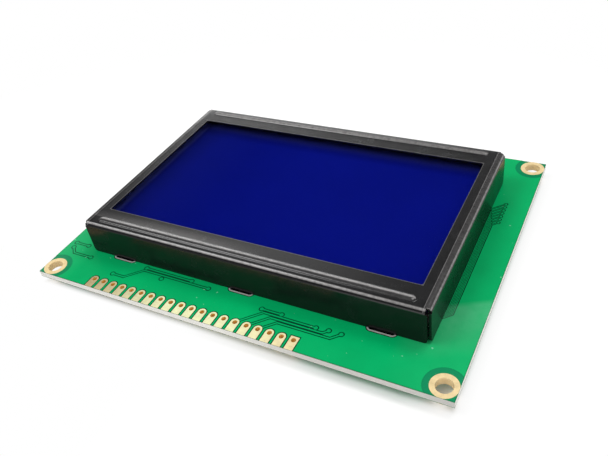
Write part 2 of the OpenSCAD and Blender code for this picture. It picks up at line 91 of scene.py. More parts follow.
def paint(red, green, blue):
    """Turns display values from 0 to 255 into the linear colour that shaders use."""
    shares = (value / 255 for value in (red, green, blue))
    return tuple(s / 12.92 if s <= 0.04045 else ((s + 0.055) / 1.055) ** 2.4 for s in shares)


def length(name, description, default):
    """A property for a length."""
    return FloatProperty(name=name, description=description, default=default, unit="LENGTH", precision=6)


def angle(name, description, degrees):
    """A property for an angle."""
    return FloatProperty(name=name, description=description, default=math.radians(degrees), subtype="ANGLE")


def power(name, description, watts):
    """A property for the power of a lamp."""
    return FloatProperty(name=name, description=description, default=watts, unit="POWER")


def share(name, description, default):
    """A property for a share of full white."""
    return FloatProperty(name=name, description=description, default=default, subtype="FACTOR",
                         min=0.0, max=1.0)


def colour(name, description, default):
    """A property for a colour."""
    return FloatVectorProperty(name=name, description=description, default=default, subtype="COLOR",
                               size=3, min=0.0, max=1.0)


class BezelSizes(bpy.types.PropertyGroup):
    """Sizes of the folded bezel"""
    fold_radius: length("Fold radius", "Outer radius of the folds", 1.0 * MM)
    wall_gap: length("Wall gap", "Clearance between the glass and the walls", 0.4 * MM)
    window_lap: length("Window lap", "Overlap of the polarizer under the face", 1.2 * MM)
    window_radius: length("Window radius", "Corner radius of the window", 0.5 * MM)
    bead_width: length("Bead width", "Width of a pressed bead", 1.5 * MM)
    bead_height: length("Bead height", "Height of a pressed bead over the face", 0.32 * MM)
    bead_inset: length("Bead inset", "Distance of a bead's middle from the long side", 2.1 * MM)
    bead_end_gap: length("Bead end gap", "Distance of a bead's ends from the short sides", 3.3 * MM)
    bead_blend: length("Bead blend", "Softness of a bead's ridge", 0.08 * MM)
    bead_slope: angle("Bead slope", "Slope of a bead's upper sides", 11)
    corner_slit: length("Corner slit", "Width of the slit between the ends of neighbouring walls", 0.1 * MM)
    wall_radius: length("Wall radius", "Radius of the lower corners of the walls", 0.8 * MM)
    tab_width: length("Tab width", "Width of a tab", 3.0 * MM)
    tab_pitch: length("Tab pitch", "Spacing of the tabs", 30.0 * MM)
    tab_twist: angle("Tab twist", "Angle that a tab's tip is twisted through", 35)
    edge_radius: length("Edge radius", "Rounding of the sheared edges under the paint", 0.07 * MM)


class ChipSizes(bpy.types.PropertyGroup):
    """Sizes of the display cell and of the parts on the back of the board"""
    chip_edge: length("Chip edge", "Rounding of the edges of chips and their metal ends", 0.05 * MM)
    dome_ripple: length("Dome ripple", "Unevenness of the poured epoxy", 0.1 * MM)
    glass_gap: length("Film gap", "Air between stacked films, so that their faces don't coincide", 0.01 * MM)
    glass_edge: length("Glass edge", "Ground edge of the glass plates", 0.15 * MM)


class FinishColours(bpy.types.PropertyGroup):
    """Colours of the finishes"""
    mask: colour("Mask", "Solder mask over copper", paint(0, 177, 102))
    bare: colour("Bare", "Solder mask over bare laminate", paint(0, 138, 88))
    groove: colour("Groove", "Solder mask in the narrow channels beside the tracks", paint(0, 60, 36))
    # Pale mask colour of the painted reflection on the board and of the fine specks
    rubbed: colour("Rubbed", "Solder mask that is rubbed pale", paint(149, 224, 188))
    cut: colour("Cut edge", "Sawn edge of the laminate", paint(252, 250, 243))
    gold: colour("Gold", "Gold plate", paint(255, 228, 172))
    # Pale plate with a painted glint, for the middle of the header's row
    pad: colour("Pad", "Gold plate of the header pads", paint(255, 254, 200))
    pad_without_glint: colour("Worn pad", "Duller plate at the left end of the header", paint(198, 177, 133))
    bore: colour("Bore", "Plating inside the corner holes", paint(255, 230, 180))
    # Plating inside the header holes, painted darker and more orange as the shade in the holes
    pin_bore_shade: colour("Pin bore", "Plating inside the header holes", paint(255, 208, 116))
    # Painted shade on the walls inside the tab slots, in place of their tin
    slot: colour("Slot", "Inside of the tab slots", paint(20, 22, 22))
    tin: colour("Tin", "Tinned copper and solder", paint(184, 182, 178))
    black: colour("Black paint", "Paint of the bezel", paint(16, 16, 18))
    # Pale colour of the painted highlights and of the paint wear on the bezel's edges
    highlight_and_wear: colour("Scuffs", "Paint rubbed thin on the bezel's edges", paint(176, 173, 172))
    film: colour("Film", "Clear films of the display cell", (0.0, 0.0, 0.001))
    seal: colour("Seal", "Seal round the edge of the glass", (0.008, 0.008, 0.02))
    display: colour("Display", "Unlit liquid crystal", paint(11, 23, 145))
    # Colour of the painted pale reflection over the liquid crystal in the bezel's shade
    shade: colour("Shade", "Liquid crystal in the shade of the bezel", paint(70, 80, 168))
    resin: colour("Resin", "White resin and white film of the backlight", paint(228, 228, 222))
    acrylic: colour("Acrylic", "Light guide", paint(214, 226, 230))
    laminate: colour("Laminate", "Uncoated laminate of the backlight's board", paint(206, 196, 160))
    rubber: colour("Rubber", "Connector strips", paint(58, 56, 58))
    epoxy: colour("Epoxy", "Poured epoxy", paint(18, 18, 19))
    silicon: colour("Silicon", "Sawn dies", paint(96, 98, 108))
    glaze: colour("Glaze", "Black glaze of the chip resistors", paint(30, 30, 33))
    ceramic: colour("Ceramic", "Tan ceramic of the chip capacitors", paint(176, 148, 112))


class StageSettings(bpy.types.PropertyGroup):
    """Camera and light"""
    azimuth: angle("Azimuth", "Turn of the camera round the module", 32.94)
    elevation: angle("Elevation", "Height angle of the camera", 38.66)
    roll: angle("Roll", "Tilt of the camera", -9.42)
    focal_pixels: FloatProperty(name="Focal length", description="Focal length in pixels of the image",
                                default=652.7, subtype="PIXEL")
    place: FloatVectorProperty(name="Place", description="Place of the camera", size=3, unit="LENGTH",
                               precision=6, default=(63.9 * MM, -97.1 * MM, 92.6 * MM))
    fill: share("Fill", "Strength of the even light from all round", 0.44)
    room: share("Room", "Strength of the room that shiny faces see over the horizon", 0.13)
    floor_glow: share("Floor glow", "Share of white that the floor shows by itself", 0.18)
    key_power: power("Key light", "Power of the soft light behind at the right", 0.9)
    left_power: power("Left light", "Power of the soft light at the left", 1.25)
    back_power: power("Back light", "Power of the low light behind", 0.4)


class Wire:
    """One socket of a finish. Python's operators on it add Math nodes."""

    def __init__(self, finish, socket):
        self.finish = finish
        self.socket = socket

    def math(self, operation, *values):
        """Adds a Math node."""
        return self.finish.node("ShaderNodeMath", {"operation": operation}, dict(enumerate(values)))

    def __add__(self, other):
        return self.math("ADD", self, other)

    def __radd__(self, other):
        return self.math("ADD", other, self)

    def __sub__(self, other):
        return self.math("SUBTRACT", self, other)

    def __rsub__(self, other):
        return self.math("SUBTRACT", other, self)

    def __mul__(self, other):
        return self.math("MULTIPLY", self, other)

    def __rmul__(self, other):
        return self.math("MULTIPLY", other, self)

    def __gt__(self, other):
        return self.math("GREATER_THAN", self, other)

    def __lt__(self, other):
        return self.math("LESS_THAN", self, other)

    def __abs__(self):
        return self.math("ABSOLUTE", self)

    def least(self, other):
        return self.math("MINIMUM", self, other)

    def most(self, other):
        return self.math("MAXIMUM", self, other)

    def fraction(self):
        return self.math("FRACT", self)


class Finish:
    """The shader of a material or of the world, under construction."""

    def __init__(self, owner):
        self.owner = owner
        owner.use_nodes = True
        self.tree = owner.node_tree
        self.tree.nodes.clear()

    def node(self, kind, settings=None, sockets=None, output=0):
        """Adds a node with its settings and the values or links of its sockets. Gives one of its outputs."""
        made = self.tree.nodes.new(kind)
        for name, value in (settings or {}).items():
            setattr(made, name, value)
        for name, value in (sockets or {}).items():
            if isinstance(value, Wire):
                self.tree.links.new(value.socket, made.inputs[name])
            else:
                made.inputs[name].default_value = value
        return Wire(self, made.outputs[output])

    def place(self):
        """Object coordinates in millimetres."""
        where = self.node("ShaderNodeTexCoord", output="Object")
        return self.node("ShaderNodeVectorMath", {"operation": "SCALE"}, {"Vector": where, "Scale": 1 / MM})

    def axes(self, vector):
        """The three parts of a vector."""
        split = self.node("ShaderNodeSeparateXYZ", None, {"Vector": vector}).socket.node
        return [Wire(self, split.outputs[axis]) for axis in "XYZ"]

    def stretched(self, vector, factors):
        """A vector with each of its parts multiplied by a factor."""
        return self.node("ShaderNodeMapping", None, {"Vector": vector, "Scale": factors})

    def towards(self, vector, direction):
        """How far a vector goes in a direction."""
        return self.node("ShaderNodeVectorMath", {"operation": "DOT_PRODUCT"},
                         {0: vector, 1: direction}, "Value")

    def noise(self, vector, scale, detail=2.0, roughness=0.5):
        """A soft random pattern with values about one half."""
        return self.node("ShaderNodeTexNoise", None,
                         {"Vector": vector, "Scale": scale, "Detail": detail, "Roughness": roughness}, "Fac")

    def spread(self, value, low, high, to_low, to_high):
        """Maps a value's range onto another, held at its ends."""
        ranges = {"From Min": low, "From Max": high, "To Min": to_low, "To Max": to_high}
        return self.node("ShaderNodeMapRange", {"clamp": True}, {"Value": value, **ranges})

    def fade(self, value, start, end):
        """Goes from nought to one while a value goes from its start to its end."""
        return self.spread(value, start, end, 0.0, 1.0)

    def mottle(self, pattern, to_low, to_high):
        """Maps a noise pattern onto a range."""
        return self.spread(pattern, NOISE_LOW, NOISE_HIGH, to_low, to_high)

    def blend(self, factor, first, second):
        """Mixes two colours."""
        def shade(value):
            return value if isinstance(value, Wire) else (*value[:3], 1.0)
        sockets = {MIX_FACTOR: factor, MIX_FIRST: shade(first), MIX_SECOND: shade(second)}
        return self.node("ShaderNodeMix", {"data_type": "RGBA"}, sockets, MIX_RESULT)

    def tinted(self, shade, factor):
        """Multiplies a colour by a grey value."""
        grey = self.node("ShaderNodeCombineXYZ", None, {"X": factor, "Y": factor, "Z": factor})
        plain = shade if isinstance(shade, Wire) else tuple(shade[:3])
        return self.node("ShaderNodeVectorMath", {"operation": "MULTIPLY"}, {0: plain, 1: grey})

    def inside_window(self, x, y):
        """Distance in millimetres from the outline of the bezel's window, positive inside it."""
        half_w, half_d = window_half()
        from_sides = half_w / MM - abs(x)
        from_ends = half_d / MM - abs(y - middle_y / MM)
        return from_sides.least(from_ends)

    def bump(self, height, strength, depth):
        """Fine relief, whose depth is in millimetres."""
        return self.node("ShaderNodeBump", None,
                         {"Height": height, "Strength": strength, "Distance": depth * MM}, "Normal")

    def rays(self, *names):
        """One where the ray is of any of the named kinds, otherwise nought."""
        path = self.node("ShaderNodeLightPath").socket.node
        first = Wire(self, path.outputs[names[0]])
        return first if len(names) == 1 else first.most(self.rays(*names[1:]))

    def mix_shaders(self, factor, first, second):
        """Mixes two shaders."""
        return self.node("ShaderNodeMixShader", None, {0: factor, 1: first, 2: second})

    def close(self, sockets):
        """Ends a material with its surface."""
        return self.end(self.node("ShaderNodeBsdfPrincipled", None, sockets))

    def end(self, shader, output="ShaderNodeOutputMaterial"):
        """Links the last shader to the output and gives back the material or the world."""
        self.tree.links.new(shader.socket, self.tree.nodes.new(output).inputs["Surface"])
        return self.owner


def solder_mask(colours):
    """Green mask: bright over copper, dark in the etched channels, with a pale sawn edge."""
    finish = Finish(bpy.data.materials.new("solder_mask"))
    place = finish.place()
    x, y, height = finish.axes(place)

    # Copper lies above the bed of the channels, and the mask laps a little way over the sawn edge
    top, bottom = board_hi.z / MM, board_lo.z / MM
    channel, lap = 0.025, 0.14
    copper = (height > top - channel) + (height < bottom + channel)
    sawn = (height < top - lap) * (height > bottom + lap)

    # Green that is darker at the board's outline and in the channels, less so round the corner holes
    left_end, right_end = -46.0, 46.0
    hole_corner = 7.0
    groove_fade = (5.0, 36.0)
    outline_fade = (0.06, 0.22)
    inset_x = board_hi.x / MM - abs(x)
    inset_y = board_hi.y / MM - abs(y)
    at_hole = (inset_x < hole_corner) * (inset_y < hole_corner)
    groove = finish.tinted(colours.groove, finish.spread(x, *groove_fade, 1.6, 0.5))
    sunk = finish.blend(at_hole, groove, colours.bare)
    cloud = finish.mottle(finish.noise(place, 0.12, 3.0), 0.93, 1.06)
    grain = finish.mottle(finish.noise(place, 9.0, 2.0), 0.96, 1.03)
    outline = finish.spread(inset_x.least(inset_y), *outline_fade, 0.7, 1.0)
    drift = finish.spread(x, left_end, right_end, 0.98, 1.06)
    mask = finish.tinted(finish.blend(copper, sunk, colours.mask), cloud * grain * outline * drift)

    # Painted reflection on the top side, in front of a slanting line at the right and at the left end, and
    # fine specks
    slant, line = 0.54, 36.1
    right_fade, line_fade, front_fade = (33.0, 41.0), (-0.4, 1.0), (4.0, 14.0)
    left_fade = (left_end, -38.0)
    ahead = slant * x - y - line
    patchy = finish.spread(finish.noise(place, 0.5, 3.0), 0.3, 0.6, 0.7, 1.0)
    painted_reflection = patchy * finish.fade(x, *right_fade) * finish.fade(ahead, *line_fade)
    painted_reflection = painted_reflection * finish.spread(ahead, *front_fade, 0.2, 0.02)
    painted_reflection = painted_reflection + finish.spread(x, *left_fade, 0.08, 0.0)
    painted_reflection = painted_reflection * (height > (top + bottom) / 2)
    specks = finish.spread(finish.noise(place, 1.7, 0.0), 0.865, 0.885, 0.0, 0.6)
    mask = finish.blend(painted_reflection.most(specks), mask, colours.rubbed)

    # Sawn edge with layers and fibres, darker at the right of the front side
    front_side = board_lo.y / MM + 0.1
    darkening_fade = (0.0, 20.0)
    layers = finish.noise(finish.stretched(place, (0.6, 0.6, 9.0)), 1.0, 3.0, 0.65)
    fibres = finish.noise(finish.stretched(place, (5.0, 5.0, 14.0)), 1.0, 2.0)
    darkening = 1.0 - finish.spread(x, *darkening_fade, 0.0, 0.33) * (y < front_side)
    edge = finish.tinted(colours.cut, darkening * finish.spread(layers + 0.5 * fibres, 0.5, 1.0, 0.84, 1.1))

    peel = finish.noise(place, 2.2, 2.0)
    return finish.close({
        "Base Color": finish.blend(sawn, mask, edge),
        "Roughness": finish.spread(sawn, 0.0, 1.0, 0.34, 0.8) + 0.05 * (grain - 1.0),
        "Normal": finish.bump(peel + 1.5 * sawn * fibres, 0.12, 0.08),
        "Specular IOR Level": 0.08,
    })


def plate_metal(name, shade, bore, dull, ends=None):
    """Plated or tinned metal: uneven tint and roughness with fine scratches, and its own tone in the holes,
    which in the header holes and the tab slots is painted shade.

    The ends are the colours at the left and at the right end of a row, where they differ from its middle; on
    the header pads the pale middle is a painted glint.
    """
    finish = Finish(bpy.data.materials.new(name))
    place = finish.place()
    x, _, height = finish.axes(place)
    lip = 0.05
    left_fade, right_fade = (-12.0, -33.0), (4.0, 16.0)
    inside = (height < board_hi.z / MM - lip) * (height > board_lo.z / MM + lip)
    left_end, right_end = ends or (shade, shade)
    plate = finish.blend(finish.fade(x, *left_fade), shade, left_end)
    plate = finish.blend(finish.spread(x, *right_fade, 0.0, 0.7), plate, right_end)
    tone = finish.blend(inside, plate, bore)
    cloud = finish.noise(place, 0.9, 3.0)
    scratch = finish.noise(finish.stretched(place, (14.0, 2.0, 6.0)), 1.0, 2.0)
    return finish.close({
        "Base Color": finish.tinted(tone, finish.mottle(cloud, 0.88, 1.05)),
        "Metallic": 0.08,
        "Roughness": dull + 0.18 * (cloud - 0.5) + 0.1 * (scratch - 0.5),
        "Normal": finish.bump(scratch + cloud, 0.06, 0.02),
    })


def bezel_highlights_and_wear(finish, place, over, facing, rear):
    """How strong the painted highlights and sheen on the bezel are, and where its paint is thinned by wear,
    from its height over the face and the way it faces.
    """
    x, y, _ = finish.axes(place)
    rim = finish.inside_window(x, y)
    ragged = finish.spread(finish.noise(place, 1.6, 3.0), 0.35, 0.6, 0.65, 1.0)

    # Sheared edge of the window: paint wear and a painted highlight
    edge_width, edge_depth = 0.14, 0.09
    window = (rim > -edge_width) * (over > -edge_depth)

    # Painted highlights on the beads, on the sides that face the window
    turn, rise = (-0.05, 0.15), (0.04, 0.12)
    front_bead = (1.0 - rear) * finish.spread(facing, *turn, 0.1, 1.0)
    rear_bead = rear * finish.spread(facing, *turn, 0.6, 0.1)
    beads = (front_bead + rear_bead) * finish.fade(over, *rise)

    # Painted highlight along the long fold at the front, and faintly along the other folds
    fold_margin = 1.0
    fold_foot, fold_top, front_turn = (-0.36, -0.26), (-0.03, -0.1), (-0.25, -0.15)
    fold = finish.fade(over, *fold_foot) * finish.fade(over, *fold_top) * (rim < -fold_margin)
    fold = fold * finish.spread(facing, *front_turn, 0.65, 0.03)

    # Painted highlights at the short folds: a line on the face beside the bend, a thin film outside it and a
    # line low on the bend
    film_edge, line_edge = 1.3, 1.45
    low_outer, low_inner = (0.1, 0.16), (0.4, 0.3)
    crease_foot, crease_top = -0.6, 0.02
    inset = bezel_hi.x / MM - abs(x)
    creases = 0.35 * (inset > film_edge) * (inset < line_edge) + 0.1 * (inset < film_edge)
    creases = creases + 0.55 * finish.fade(inset, *low_outer) * finish.fade(inset, *low_inner)
    creases = creases * (over > crease_foot) * (over < crease_top)

    # Painted sheen behind the front bead, on the left half
    sheen_start, sheen_end = 2.0, 4.3
    left_fade, right_fade = (-37.0, -25.0), (6.0, -12.0)
    depth = y - glass_lo.y / MM
    sheen = finish.fade(depth, sheen_end, sheen_start) * (depth > sheen_start)
    sheen = sheen * finish.spread(x, *left_fade, 0.4, 1.0) * finish.fade(x, *right_fade)

    return ragged * (0.25 * window + 0.75 * beads + fold + creases) + 0.25 * sheen


def black_paint(colours):
    """Black paint on steel: fine texture, painted highlights and paint wear, and duller on what faces back
    behind the window.
    """
    finish = Finish(bpy.data.materials.new("black_paint"))
    place = finish.place()
    _, y, height = finish.axes(place)
    over = height - (bezel_hi.z - bpy.context.scene.display_bezel.bead_height) / MM
    _, facing, _ = finish.axes(finish.node("ShaderNodeNewGeometry", output="Normal"))
    rear = y > middle_y / MM
    back_turn, coat_foot = (0.03, 0.2), (-1.2, -0.6)
    # Painted highlights and sheen, with paint wear at the window's edge
    highlight_and_wear = bezel_highlights_and_wear(finish, place, over, facing, rear)
    averted = finish.spread(facing, *back_turn, 0.0, 0.95) * rear
    fine = finish.noise(place, 7.0, 3.0, 0.6)
    broad = finish.noise(place, 0.35, 2.0)
    satin = finish.mottle(broad, 0.2, 0.28) + 0.06 * (fine - 0.5)
    tone = finish.tinted(colours.black, finish.mottle(broad, 0.8, 1.25))
    return finish.close({
        "Base Color": finish.blend(highlight_and_wear, tone, colours.highlight_and_wear),
        "Roughness": satin + 0.15 * highlight_and_wear + 0.2 * averted,
        "Normal": finish.bump(fine, 0.05, 0.02),
        "Specular IOR Level": 0.3,
        "Coat Weight": finish.spread(over, *coat_foot, 0.0, 0.9) * (1.0 - averted),
        "Coat Roughness": 0.22,
    })


def clear_layer(name, shade, alpha, roughness):
    """Clear film over or under the display, without shine."""
    finish = Finish(bpy.data.materials.new(name))
    smear = finish.noise(finish.place(), 0.25, 2.0)
    return finish.close({
        "Base Color": (*shade, 1.0),
        "Roughness": finish.mottle(smear, roughness, roughness + 0.06),
        "Alpha": alpha,
        "Specular IOR Level": 0.0,
    })


def bordered_glass(colours):
    """Clear glass with the black seal round its edge."""
    finish = Finish(bpy.data.materials.new("bordered_glass"))
    place = finish.place()
    x, y, _ = finish.axes(place)
    seal_margin, clear = 1.7, 0.03
    seal = finish.inside_window(x, y) < -seal_margin
    return finish.close({
        "Base Color": (*colours.seal, 1.0),
        "Roughness": finish.mottle(finish.noise(place, 0.25, 2.0), 0.05, 0.1),
        "Alpha": seal.most(clear),
        "Specular IOR Level": 0.0,
    })


def display_field(colours):
    """Unlit liquid crystal: deep blue with a barely visible matrix of dots, fading to its dark border, with
    painted shade of the bezel and a painted pale reflection along the left end and the rear side.
    """
    finish = Finish(bpy.data.materials.new("display_field"))
    place = finish.place()
    x, y, _ = finish.axes(place)

    # Matrix of dots
    pitch, line = 0.52, 0.04
    column = (x * (1 / pitch)).fraction()
    row = (y * (1 / pitch)).fraction()
    gap = (column < line / pitch).most(row < line / pitch)

    # Painted shade of the bezel: blue that is darker near the left end and the rear side of the window
    border_fade, back_fade = (-2.6, -1.6), (-1.4, 4.2)
    near_left, far_left = (1.0, 7.0), (7.0, 30.0)
    half_w, half_d = (half / MM for half in window_half())
    left = x + half_w
    back = half_d + middle_y / MM - y
    border = finish.fade(finish.inside_window(x, y), *border_fade)
    cloud = finish.mottle(finish.noise(place, 0.06, 2.0), 0.95, 1.05)
    lit = finish.spread(left, *near_left, 0.5, 0.82) + finish.spread(left, *far_left, 0.0, 0.18)
    lit = lit * finish.spread(back, *back_fade, 0.15, 1.0) * border
    tone = finish.tinted(colours.display, cloud * lit * (1.0 - 0.06 * gap))

    # Painted pale reflection along those two sides, over the painted shade
    veil_edge, veil_end, back_veil = (-1.7, 0.7), (20.0, 2.0), (-1.5, 2.5)
    veil = finish.spread(left, *veil_edge, 1.0, 0.05) * finish.fade(left, *veil_end)
    veil = veil.most(finish.spread(back, *back_veil, 0.25, 0.0)) * border
    return finish.close({
        "Base Color": finish.blend(veil, tone, colours.shade),
        "Roughness": finish.spread(cloud, 0.95, 1.05, 0.5, 0.6),
        "Specular IOR Level": 0.0,
    })


def moulding(name, shade, roughness, scale, contrast):
    """Moulded or poured resin, film, rubber and ceramic: soft mottling and a fine skin."""
    finish = Finish(bpy.data.materials.new(name))
    skin = finish.noise(finish.place(), scale, 3.0)
    return finish.close({
        "Base Color": finish.tinted(shade, finish.mottle(skin, 1.0 - contrast, 1.0 + contrast)),
        "Roughness": roughness + 0.1 * (skin - 0.5),
        "Normal": finish.bump(skin, 0.08, 0.03),
    })


def dress(node, material):
    """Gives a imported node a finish."""
    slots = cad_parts[node].data.materials
    slots.clear()
    slots.append(material)


def enter(piece):
    """Makes a piece the only selected one and opens its mesh for editing."""
    bpy.ops.object.select_all(action="DESELECT")
    piece.select_set(True)
    bpy.context.view_layer.objects.active = piece
    bpy.ops.object.mode_set(mode="EDIT")


def leave():
    """Ends the editing of a mesh."""
    bpy.ops.object.mode_set(mode="OBJECT")


def settle():
    """Puts the place and size of the active piece into its mesh."""
    bpy.ops.object.transform_apply(location=True, rotation=True, scale=True)


def pick(piece, kind, test):
    """Selects the faces, edges or vertices whose middle passes a test, and nothing else."""
    bpy.ops.mesh.select_mode(type=kind)
    bpy.ops.mesh.select_all(action="DESELECT")
    mesh = bmesh.from_edit_mesh(piece.data)
    items = {"VERT": mesh.verts, "EDGE": mesh.edges, "FACE": mesh.faces}[kind]
    for item in items:
        corners = [item] if kind == "VERT" else item.verts
        middle = sum((v.co for v in corners), Vector()) / len(corners)
        item.select_set(test(middle))
    mesh.select_flush_mode()
    bmesh.update_edit_mesh(piece.data)


def at(point):
    """A test that a middle passes if it is at a point."""
    return lambda middle: (middle - point).length < NEAR


def cut_faces(piece, test, point, normal):
    """Cuts the faces whose middle passes a test, along a plane."""
    pick(piece, "FACE", test)
    bpy.ops.mesh.bisect(plane_co=point, plane_no=normal)


def pull(offset):
    """Extrudes what is selected."""
    bpy.ops.mesh.extrude_region_move(TRANSFORM_OT_translate={"value": offset})


def face_outwards():
    """Turns all faces of the open mesh outwards."""
    bpy.ops.mesh.select_all(action="SELECT")
    bpy.ops.mesh.normals_make_consistent(inside=False)


def apply_modifier(piece, kind, **settings):
    """Adds a modifier to the active piece and applies it."""
    modifier = piece.modifiers.new(kind.title(), kind)
    for name, value in settings.items():
        setattr(modifier, name, value)
    bpy.ops.object.modifier_apply(modifier=modifier.name)


def smooth(piece, degrees):
    """Shades the active piece smoothly, except over edges that are sharper than an angle."""
    bpy.ops.object.shade_smooth_by_angle(angle=math.radians(degrees))
    apply_modifier(piece, "WEIGHTED_NORMAL", keep_sharp=True)


def hand_in(piece, name, slot, material, *nodes):
    """Names a finished piece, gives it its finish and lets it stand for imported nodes."""
    piece.name = name
    piece.data.name = name
    piece.data.materials.clear()
    piece.data.materials.append(material)
    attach(piece, "root")
    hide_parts(*nodes)


class BezelPlan:
    """Levels and half sizes of the bezel, worked out from its sizes and the frame."""

    def __init__(self, sizes):
        self.sizes = sizes
        self.fold = sizes.fold_radius
        self.face = bezel_hi.z - sizes.bead_height
        self.sheet = self.face - film_hi.z
        self.half_w = (bezel_hi.x - bezel_lo.x) / 2
        self.half_d = (glass_hi.y - glass_lo.y) / 2 + sizes.wall_gap + self.sheet
        self.flat_w = self.half_w - self.fold
        self.flat_d = self.half_d - self.fold
        self.middle = Vector((0, middle_y, self.face))


def cut_window(piece, plan):
    """Insets the window in the flat face, rounds its corners and opens it."""
    window_w, window_d = window_half()
    bar = plan.flat_d - window_d
    pick(piece, "FACE", lambda m: True)
    bpy.ops.mesh.inset(thickness=bar)
    bpy.ops.transform.resize(value=(window_w / (plan.flat_w - bar), 1, 1), center_override=plan.middle)
    pick(piece, "VERT", lambda m: abs(abs(m.x) - window_w) < NEAR)
    bpy.ops.mesh.bevel(offset=plan.sizes.window_radius, segments=CORNER_STEPS, affect="VERTICES")
    pick(piece, "FACE", at(plan.middle))
    bpy.ops.mesh.delete(type="FACE")


def fold_wall(piece, plan, axis, side):
    """Folds one side of the face down into a wall, whose ends reach past the folds to the corner slits."""
    half, reach = (plan.flat_d, plan.flat_w) if axis else (plan.flat_w, plan.flat_d)
    out, along = Vector((0, 0, 0)), Vector((0, 0, 0))
    out[axis] = side
    along[1 - axis] = 1
    line = plan.middle + out * half
    centre = line - Vector((0, 0, plan.fold))
    foot = centre + out * plan.fold
    turn = (side if axis else -side) * math.pi / 2
    pick(piece, "EDGE", at(line))
    bpy.ops.mesh.spin(steps=FOLD_STEPS, angle=turn, center=centre, axis=along)
    drop = Vector((0, 0, board_hi.z - plan.face + plan.fold))
    pick(piece, "EDGE", at(foot))
    pull(drop)
    ear = plan.fold - plan.sheet - plan.sizes.corner_slit
    for end in (-1, 1):
        corner = foot + along * end * reach + drop / 2
        pick(piece, "EDGE", at(corner))
        pull(along * end * ear)
        pick(piece, "EDGE", at(corner))
        bpy.ops.mesh.dissolve_edges(use_verts=True)


def twist_tab(piece, plan, side, middle):
    """Draws a tab out of a long wall, through the board, and twists its tip."""
    sizes = plan.sizes
    wall = middle_y + side * plan.half_d
    turns = 6
    for edge in (-1, 1):
        cut_faces(piece, lambda m: abs(m.y - wall) < NEAR and m.z < plan.face - plan.fold,
                  (middle + edge * sizes.tab_width / 2, 0, 0), (1, 0, 0))
    pick(piece, "EDGE", at(Vector((middle, wall, board_hi.z))))
    pull((0, 0, board_lo.z - board_hi.z))
    for _ in range(turns):
        pull((0, 0, -board_lo.z / turns))
        bpy.ops.transform.rotate(value=sizes.tab_twist / turns, orient_axis="Z",
                                 center_override=(middle, wall - side * plan.sheet / 2, 0))


def press_bead(piece, plan, side):
    """Cuts one long bar of the face finely round its bead, and lifts the bead."""
    sizes = plan.sizes
    half = sizes.bead_width / 2
    end = plan.half_w - sizes.bead_end_gap - half
    bead_y = middle_y + side * (plan.half_d - sizes.bead_inset)
    window_d = window_half()[1]

    # Cuts across the bead in shares of its half width, close together on its steep shoulder
    shoulder, shoulder_width, spacing = 0.76, 0.34, 0.05
    cuts = [0.0, 0.08, 0.2, 0.5, *(shoulder + spacing * step for step in range(7)), 1.12]
    zone = 1.4 * half

    def on_bar(m):
        return abs(m.z - plan.face) < NEAR and abs(m.x) < NEAR and side * (m.y - middle_y) > window_d

    def in_strip(m):
        return abs(m.z - plan.face) < NEAR and abs(m.y - bead_y) < zone

    def in_zone(m):
        return in_strip(m) and abs(m.x) < end + zone

    def lift(distance):
        """Height over the face: a blunt ridge with gently sloping sides and steep shoulders."""
        fall = math.hypot(distance, sizes.bead_blend) - sizes.bead_blend
        ridge = sizes.bead_height - math.tan(sizes.bead_slope) * fall
        past = min(1.0, max(0.0, (distance / half - shoulder) / shoulder_width))
        return ridge * (1 - past * past * (3 - 2 * past))

    for edge in (-1, 1):
        cut_faces(piece, on_bar, (0, bead_y + edge * zone, 0), (0, 1, 0))
    for edge in (-1, 1):
        cut_faces(piece, in_strip, (edge * (end + zone), 0, 0), (1, 0, 0))
    for cut in cuts:
        for edge in (-1, 1):
            cut_faces(piece, in_zone, (edge * (end + cut * half), 0, 0), (1, 0, 0))
            if cut or edge > 0:
                cut_faces(piece, in_zone, (0, bead_y + edge * cut * half, 0), (0, 1, 0))

    mesh = bmesh.from_edit_mesh(piece.data)
    for vert in mesh.verts:
        gap = math.hypot(max(0.0, abs(vert.co.x) - end), vert.co.y - bead_y)
        if abs(vert.co.z - plan.face) < NEAR and gap < zone:
            vert.co.z += lift(gap)
    bmesh.update_edit_mesh(piece.data)


def model_bezel(sizes):
    """Folds the bezel from one flat sheet, with its window, walls, tabs and beads."""
    plan = BezelPlan(sizes)
    sides = (-1, 1)
    bpy.ops.mesh.primitive_plane_add(size=2, location=plan.middle)
    piece = bpy.context.object
    piece.scale = (plan.flat_w, plan.flat_d, 1)
    settle()
    enter(piece)
    cut_window(piece, plan)
    for axis in (0, 1):
        for side in sides:
            fold_wall(piece, plan, axis, side)

    # Lower corners of the walls
    bpy.ops.mesh.select_all(action="SELECT")
    bpy.ops.mesh.remove_doubles(threshold=WELD)
    pick(piece, "VERT", lambda m: abs(m.z - board_hi.z) < NEAR)
    bpy.ops.mesh.bevel(offset=sizes.wall_radius, segments=CORNER_STEPS, affect="VERTICES")

    for side in sides:
        for step in (-1, 0, 1):
            twist_tab(piece, plan, side, step * sizes.tab_pitch)
    for side in sides:
        press_bead(piece, plan, side)
    face_outwards()
    leave()

    # Thickness of the sheet and rounding of its sheared edges
    apply_modifier(piece, "SOLIDIFY", thickness=plan.sheet, offset=-1.0, use_even_offset=True)
    bpy.ops.object.shade_smooth_by_angle(angle=math.radians(SHARP))
    apply_modifier(piece, "BEVEL", width=sizes.edge_radius, segments=2, limit_method="ANGLE",
                   angle_limit=math.radians(SHARP), harden_normals=True)
    return piece


def model_plate(node, edge, gap):
    """A glass or film plate with its edges ground, a hair thinner than its place."""
    lo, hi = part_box(node)
    bpy.ops.mesh.primitive_cube_add(size=1, location=(lo + hi) / 2)
    piece = bpy.context.object
    piece.scale = (hi.x - lo.x, hi.y - lo.y, hi.z - lo.z - 2 * gap)
    settle()
    enter(piece)
    bpy.ops.mesh.select_all(action="SELECT")
    bpy.ops.mesh.bevel(offset=min(edge, (hi.z - lo.z) / 4), segments=1)
    leave()
    return piece


